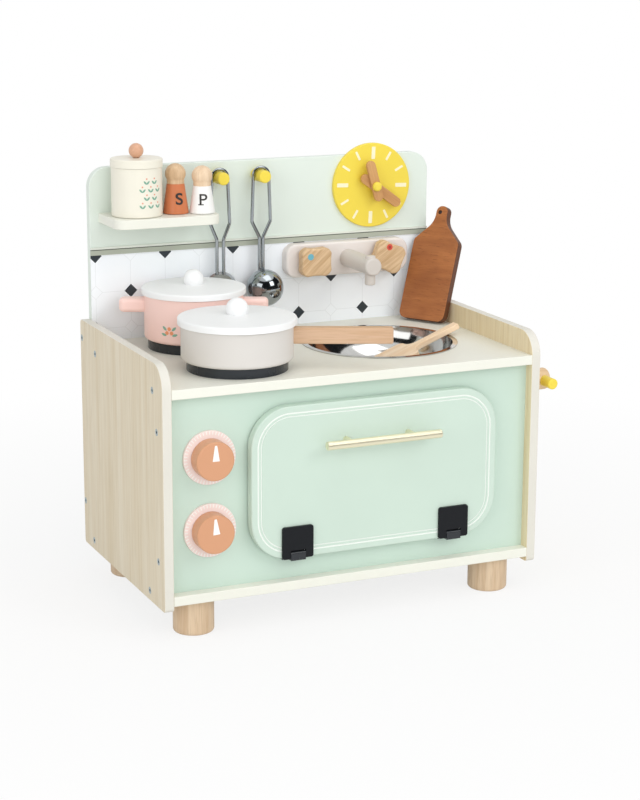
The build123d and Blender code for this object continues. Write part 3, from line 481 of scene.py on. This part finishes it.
pointer_width, pointer_height = 0.0070, 0.0152
pointer_foot = (0.0002, 0.0, 0.0080)   # from the knob's middle
mark_width, mark_height, mark_ring = 0.0008, 0.0034, 0.0243
marks_on_dial = 48
dial_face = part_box("knob_dials")[0].y
for knob, lean in (("upper_knob", 0.0), ("lower_knob", -4.0)):
    low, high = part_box(knob)
    middle_x, height = (low.x + high.x) / 2, (low.z + high.z) / 2
    centre = Matrix.Translation((middle_x, low.y, height))
    pointer = plaque(knob + "_pointer", pointer_width, pointer_height, taper=0.32, corner=0.0003)
    pointer.data.transform(centre @ Matrix.Rotation(radians(lean), 4, "Y")
                           @ Matrix.Translation(pointer_foot))
    settle(pointer, chalk, knob)
    mark = plaque("mark", mark_width, mark_height)
    mark.data.transform(Matrix.Translation((0.0, 0.0, mark_ring)))
    dial_centre = Matrix.Translation((middle_x, dial_face, height))
    marks = []
    for i in range(marks_on_dial):
        turn = Matrix.Rotation(2 * pi * i / marks_on_dial, 4, "Y")
        marks.append(copy_of(mark, "mark", dial_centre @ turn))
    bpy.data.objects.remove(mark)
    settle(unite(marks, knob + "_dial_marks"), chalk, "cabinet")

# ---- Hotplates ----
# Two turned wooden discs in black lacquer with a soft sheen, glued to the worktop. Each is
# a little smaller than the pan that stands on it.
lacquer = paint("black_lacquer", "22282E", 0.26, 0.00004)
coat("front_hotplate", lacquer)
coat("rear_hotplate", lacquer)

# ---- Saucepan and stewpot ----
# Turned wooden pans in matt paint with white lids and ball knobs. The saucepan has a bare
# beech handle, the stewpot two pink ears and a small printed posy.
warm_grey = paint("warm_grey_paint", "D7D3CE", 0.45)
pink = paint("pink_paint", "FBD7CE", 0.42)
white = paint("white_paint", "F1F2F2", 0.42, Specular_IOR_Level=0.25)
coat("saucepan", warm_grey)
coat("stewpot", pink)
coat("stewpot_handles", pink)
for pan in ("saucepan", "stewpot"):
    coat(pan + "_lid", white)
    coat(pan + "_lid_knob", white)
handle_turn = (0.0, 0.0, radians(-23.5))
coat("saucepan_handle", timber("handle_beech", (0.10, 0.006, 0.006), "D2AF90", "C7A07B", turn=handle_turn))

cut_spacing, cut_aside = 0.0008, 0.00003    # clear of points that lie on the middle line


def wrap(piece, foot, radius, facing, taper=0.0):
    """Bend a flat print round an upright round piece that stands at foot, facing that many
    degrees to the right of the front. The radius shrinks by taper for each metre of height."""
    bpy.ops.object.select_all(action="DESELECT")
    piece.select_set(True)
    bpy.context.view_layer.objects.active = piece
    reach = max(abs(point.co.x) for point in piece.data.vertices)
    bpy.ops.object.mode_set(mode="EDIT")
    cuts = int(reach / cut_spacing)
    for i in range(-cuts, cuts + 1):
        bpy.ops.mesh.select_all(action="SELECT")
        bpy.ops.mesh.bisect(plane_co=(i * cut_spacing + cut_aside, 0.0, 0.0), plane_no=(1.0, 0.0, 0.0))
    bpy.ops.object.mode_set(mode="OBJECT")
    for point in piece.data.vertices:
        here = radius - taper * point.co.z
        turn = radians(facing) + point.co.x / here
        out = here - point.co.y
        point.co = (foot.x + out * sin(turn), foot.y - out * cos(turn), foot.z + point.co.z)
    piece.data.update()


def foot_of(node):
    """Middle of the underside of an upright round node."""
    low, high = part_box(node)
    return Vector(((low.x + high.x) / 2, (low.y + high.y) / 2, low.z))


def leaf(length, width):
    """A small pointed leaf, flat to the front, its stalk end at the origin."""
    bpy.ops.object.select_all(action="DESELECT")
    bpy.ops.mesh.primitive_circle_add(vertices=16, radius=length / 2, fill_type="NGON",
                                      rotation=(pi / 2, 0.0, 0.0))
    blade = bpy.context.object
    bpy.ops.object.transform_apply(location=True, rotation=True, scale=True)
    for point in blade.data.vertices:
        along = point.co.z / (length / 2)
        point.co.x *= width / length * (1 - 0.45 * abs(along) ** 3)
        point.co.z += length / 2
    bpy.ops.object.mode_set(mode="EDIT")
    bpy.ops.mesh.select_all(action="SELECT")
    bpy.ops.mesh.extrude_region_move(TRANSFORM_OT_translate={"value": (0.0, -print_depth, 0.0)})
    bpy.ops.mesh.select_all(action="SELECT")
    bpy.ops.mesh.normals_make_consistent(inside=False)
    bpy.ops.object.mode_set(mode="OBJECT")
    return blade


def scatter(name, motif, places):
    """Copies of a flat motif at places given as across, up and lean in degrees."""
    copies = []
    for x, z, lean in places:
        turn = Matrix.Rotation(radians(lean), 4, "Y")
        copies.append(copy_of(motif, "print", Matrix.Translation((x, 0.0, z)) @ turn))
    bpy.data.objects.remove(motif)
    return unite(copies, name)


# Stewpot: three berries between four leaves
stewpot_radius, stewpot_facing = 0.0500, -50.0
green_print = paint("green_print", "7FAE98", 0.5, 0.00003)
posy_paint = paint("posy_print", "EE9A6C", 0.5, 0.00003)
posy = scatter("stewpot_berries", leaf(0.0042, 0.0042), [
    (-0.0026, 0.0105, 0.0), (0.0026, 0.0105, 0.0), (0.0, 0.0146, 0.0)])
wrap(posy, foot_of("stewpot"), stewpot_radius, stewpot_facing)
settle(posy, posy_paint, "stewpot")
sprig = scatter("stewpot_leaves", leaf(0.0060, 0.0026), [
    (-0.0032, 0.0100, -75.0), (0.0032, 0.0100, 75.0),
    (-0.0030, 0.0150, -48.0), (0.0030, 0.0150, 48.0)])
wrap(sprig, foot_of("stewpot"), stewpot_radius, stewpot_facing)
settle(sprig, green_print, "stewpot")

# ---- Sink and spatula ----
# A pressed bowl of polished stainless steel, hung by its rim in a round hole in the
# worktop, and a beech spatula that rests in it.
def polished(name, dull, bright):
    """Polished steel with faint haze and scratches."""
    steel, start = finish(name)
    place = start.node("ShaderNodeTexCoord", output="Object")
    haze = noise(start, place, 35.0, 4.0)
    scratch = noise(start, place, 900.0, 3.0)
    skin(start, Base_Color=mingle(start, haze, tint(dull), tint(bright)), Metallic=1.0,
         Roughness=haze * 0.08 + scratch * 0.04 + 0.05)
    return steel


coat("sink_bowl", polished("polished_steel", "B9B9B6", "D2D2D0"))
spatula_slope = (0.0, radians(-21.5), 0.0)
coat("spatula", timber("spatula_beech", (0.10, 0.006, 0.006), "FBE4C8", "F0D0AA", turn=spatula_slope))

# ---- Tap set ----
# A wooden plate and spout in warm grey paint, screwed on from behind, and two bare ash
# taps that turn on beech axles, one with a blue printed dot and one with a red.
coat("faucet_plate", paint("plate_grey_paint", "E8E1DC", 0.45))
# The spout is in the plate's paint, coloured darker here as painted shade.
shaded_spout_grey = paint("spout_painted_shade_grey", "D3CCC5", 0.45)
coat("faucet_spout", shaded_spout_grey)
coat("faucet_nozzle", shaded_spout_grey)
for tap, lean in (("cold_tap", 48.0), ("hot_tap", 56.0)):
    coat(tap, timber(tap + "_ash", (0.0022, 0.0022, 0.05), "E2C49C", "C9A47A",
                     turn=(0.0, radians(lean), 0.0)))
    coat(tap + "_axle", axle_beech)

blue_print = paint("blue_print", "6FB6C6", 0.5, 0.00003)
red_print = paint("red_print", "D9503F", 0.5, 0.00003)
dark_red_print = paint("dark_red_print", "A53A30", 0.5, 0.00003)


def dot(name, radius, x, z, front, material, body):
    """A small round print, slightly domed, on a face that looks to the front."""
    bpy.ops.object.select_all(action="DESELECT")
    bpy.ops.mesh.primitive_circle_add(vertices=40, radius=radius, fill_type="NGON",
                                      rotation=(pi / 2, 0.0, 0.0))
    piece = bpy.context.object
    piece.name = name
    bpy.ops.object.transform_apply(location=True, rotation=True, scale=True)
    bpy.ops.object.mode_set(mode="EDIT")
    bpy.ops.mesh.select_all(action="SELECT")
    bpy.ops.mesh.extrude_region_move(TRANSFORM_OT_translate={"value": (0.0, -print_depth * 0.6, 0.0)})
    bpy.ops.mesh.inset(thickness=radius * 0.12)
    bpy.ops.transform.translate(value=(0.0, -print_depth * 0.3, 0.0))
    bpy.ops.mesh.select_all(action="SELECT")
    bpy.ops.mesh.normals_make_consistent(inside=False)
    bpy.ops.object.mode_set(mode="OBJECT")
    piece.data.transform(Matrix.Translation((x, front, z)))
    settle(piece, material, body)
    return piece


dot_radius, centre_radius = 0.0034, 0.0016
for tap, aside, above, dot_print in (("cold_tap", -0.0075, 0.0063, blue_print),
                                     ("hot_tap", -0.0005, 0.0110, red_print)):
    low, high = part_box(tap)
    spot = (low + high) / 2 + Vector((aside, 0.0, above))
    dot(tap + "_dot", dot_radius, spot.x, spot.z, low.y, dot_print, tap)
top_of_dot = low.y - print_depth * 0.9
dot("hot_tap_dot_centre", centre_radius, spot.x, spot.z, top_of_dot, dark_red_print, "hot_tap")

# ---- Clock ----
# A yellow painted disc with cream printed hour marks, screwed on from behind, and two bare
# beech hands that turn on a yellow pin.
yellow = paint("yellow_paint", "F0D84A", 0.42, 0.00005)
coat("clock_face", yellow)
coat("clock_pin", yellow)
for hand, lean in (("hour_hand", -16.0), ("minute_hand", 126.0)):
    coat(hand, timber(hand + "_beech", (0.0025, 0.0025, 0.05), "D3A268", "BF8A55",
                      turn=(0.0, radians(lean), 0.0)))
low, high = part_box("clock_face")
clock_centre = Matrix.Translation(((low.x + high.x) / 2, low.y, (low.z + high.z) / 2))
quarter_mark, hour_mark = (0.0042, 0.0130, 0.0343), (0.0025, 0.0100, 0.0358)
clock_lean = 2.4    # degrees that the face is turned from upright
marks = []
for i in range(12):
    mark_width, mark_height, ring = quarter_mark if i % 3 == 0 else hour_mark
    mark = plaque("mark", mark_width, mark_height, corner=0.0006)
    turn = Matrix.Rotation(radians(30.0 * i + clock_lean), 4, "Y")
    mark.data.transform(clock_centre @ turn @ Matrix.Translation((0.0, 0.0, ring)))
    marks.append(mark)
cream_print = paint("cream_print", "F8F2CC", 0.5, 0.00003)
settle(unite(marks, "clock_hour_marks"), cream_print, "cabinet")

# ---- Pegs, skimmer and ladle ----
# Two yellow wooden pegs, screwed on from behind, with a steel skimmer and ladle hung on
# them by their bent wire handles. Their steel is coloured darker than the sink's, a painted
# reflection of dark surroundings.
coat("utensil_pegs", yellow)
utensil_steel_dark_reflection = polished("utensil_steel_dark_reflection", "94999C", "AEB4B7")
for node in ("skimmer_handle", "skimmer_blade", "ladle_handle", "ladle_bowl"):
    coat(node, utensil_steel_dark_reflection)

# ---- Shelf goods ----
# Turned wood that stands loose on the shelf: a cream canister with a peach ball on its lid
# and a printed garland, and two shakers with bare beech heads, one orange and one white,
# each with its letter.
canister_cream = paint("canister_cream", "EDE9DA", 0.4)
coat("canister", canister_cream)
coat("canister_lid", canister_cream)
ball_peach = paint("ball_peach", "D8A788", 0.35, 0.00005)
coat("canister_lid_knob", ball_peach)
orange = paint("orange_paint", "CC784C", 0.36)
shaker_white = paint("shaker_white", "F3F3F1", 0.38)
coat("salt_body", orange)
coat("pepper_body", shaker_white)
for shaker in ("salt", "pepper"):
    pale, dark = ("DCBD97", "CCA983") if shaker == "salt" else ("EBD1B2", "DEC09E")
    coat(shaker + "_head", timber(shaker + "_beech", (0.004, 0.004, 0.05), pale, dark))

# Heavy capitals, the P on a slab foot, bent round the shakers' cones
letter_print = paint("letter_print", "34302F", 0.5, 0.00003)
letter_size, letter_stretch = 0.0150, (1.2, 1.0, 1.07, 1.0)
letter_rise = 0.0053                 # middle of a letter above its foot
slab_width, slab_height, slab_aside = 0.0046, 0.0009, 0.0011
cone_foot, cone_top = 0.0130, 0.0095
for body, shaker, letter, weight, facing, height in (
        ("salt_body", "salt_shaker", "S", 0.0003, -1.0, 0.0152),
        ("pepper_body", "pepper_shaker", "P", 0.00006, -17.0, 0.0146)):
    bpy.ops.object.select_all(action="DESELECT")
    bpy.ops.object.text_add(rotation=(pi / 2, 0.0, 0.0))
    print_of = bpy.context.object
    print_of.data.body, print_of.data.size = letter, letter_size
    print_of.data.offset = weight
    print_of.data.align_x, print_of.data.align_y = "CENTER", "CENTER"
    bpy.ops.object.convert(target="MESH")
    bpy.ops.object.transform_apply(location=True, rotation=True, scale=True)
    bpy.ops.object.mode_set(mode="EDIT")
    bpy.ops.mesh.select_all(action="SELECT")
    bpy.ops.mesh.extrude_region_move(TRANSFORM_OT_translate={"value": (0.0, -print_depth, 0.0)})
    bpy.ops.mesh.select_all(action="SELECT")
    bpy.ops.mesh.normals_make_consistent(inside=False)
    bpy.ops.object.mode_set(mode="OBJECT")
    bottom = min(point.co.z for point in print_of.data.vertices)
    left = min(point.co.x for point in print_of.data.vertices)
    pieces = [print_of]
    if letter == "P":
        slab_foot = plaque("slab", slab_width, slab_height)
        slab_foot.data.transform(Matrix.Translation((left + slab_aside, 0.0, bottom + slab_height / 2)))
        pieces.append(slab_foot)
    print_of = unite(pieces, body + "_letter")
    print_of.data.transform(Matrix.Translation((0.0, 0.0, height - (bottom + letter_rise)))
                            @ Matrix.Diagonal(letter_stretch))
    low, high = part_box(body)
    wrap(print_of, foot_of(body), cone_foot, facing, taper=(cone_foot - cone_top) / (high.z - low.z))
    settle(print_of, letter_print, shaker)

# Canister: staggered rows of leaf pairs with a berry between them
coral_print = paint("coral_print", "E7A387", 0.5, 0.00003)
canister_radius, canister_facing = 0.0255, 14.0
pair_spacing, pair_lean, berry_rise = 0.0090, 42.0, 0.0046
leaf_places, berry_places = [], []
for row, height in enumerate((0.0095, 0.0175, 0.0255, 0.0335)):
    for column in range(3 if row % 2 == 0 else 2):
        across = (column - (1.0 if row % 2 == 0 else 0.5)) * pair_spacing
        leaf_places += [(across, height, -pair_lean), (across, height, pair_lean)]
        berry_places.append((across, height + berry_rise, 0.0))
garland = scatter("canister_leaves", leaf(0.0046, 0.0019), leaf_places)
wrap(garland, foot_of("canister"), canister_radius, canister_facing)
settle(garland, green_print, "canister")
berries = scatter("canister_berries", leaf(0.0018, 0.0018), berry_places)
wrap(berries, foot_of("canister"), canister_radius, canister_facing)
settle(berries, coral_print, "canister")

# ---- Cutting board ----
# One piece of stained beech, leaning in the corner. Its grain runs across it with fine dark
# flecks, and it is coloured darker on the faces round its rim.
board_turn = (0.0, 0.0, radians(-58.9))
board_facing = (-0.8036, -0.4848, 0.3453)
stained, start = finish("stained_beech")
place = start.node("ShaderNodeTexCoord", output="Object")
wood = grained(start, place, (0.05, 0.05, 0.006), "B5713D", "9F5E30", turn=board_turn,
               depth=0.00012, figure=0.8)
laid = start.node("ShaderNodeMapping", {"vector_type": "TEXTURE"},
                  {"Vector": place, "Rotation": board_turn, "Scale": (0.009, 0.009, 0.0011)})
fleck = start.node("ShaderNodeMapRange", None, {
    "Value": noise(start, laid, 1.0, 2.0), "From Min": 0.60, "From Max": 0.72,
    "To Min": 0.0, "To Max": 0.55})
cloud = start.node("ShaderNodeMapRange", None, {
    "Value": noise(start, place, 26.0, 2.0), "From Min": 0.42, "From Max": 0.7,
    "To Min": 0.0, "To Max": 0.5})
lean_of_face = start.node("ShaderNodeVectorMath", {"operation": "DOT_PRODUCT"}, {
    0: start.node("ShaderNodeTexCoord", output="Normal"), 1: board_facing}, "Value")
rim = start.node("ShaderNodeMapRange", None, {
    "Value": abs(lean_of_face), "From Min": 0.35, "From Max": 0.9, "To Min": 0.95, "To Max": 0.0})
shade = mingle(start, cloud, wood["Base_Color"], tint("8E522A"))
shade = mingle(start, fleck, shade, tint("6A3A1C"))
shade = mingle(start, rim, shade, tint("5C331A"))
skin(start, Base_Color=shade, Roughness=wood["Roughness"], Normal=wood["Normal"])
coat("cutting_board", stained)

# ---- Towel rail ----
# A yellow painted rod through two beech posts, which stand out from the right side panel
# near its front and back edges.
coat("towel_rail", yellow)
coat("towel_rail_posts", timber("post_beech", (0.05, 0.005, 0.005), "EACFAA", "DBBA90"))
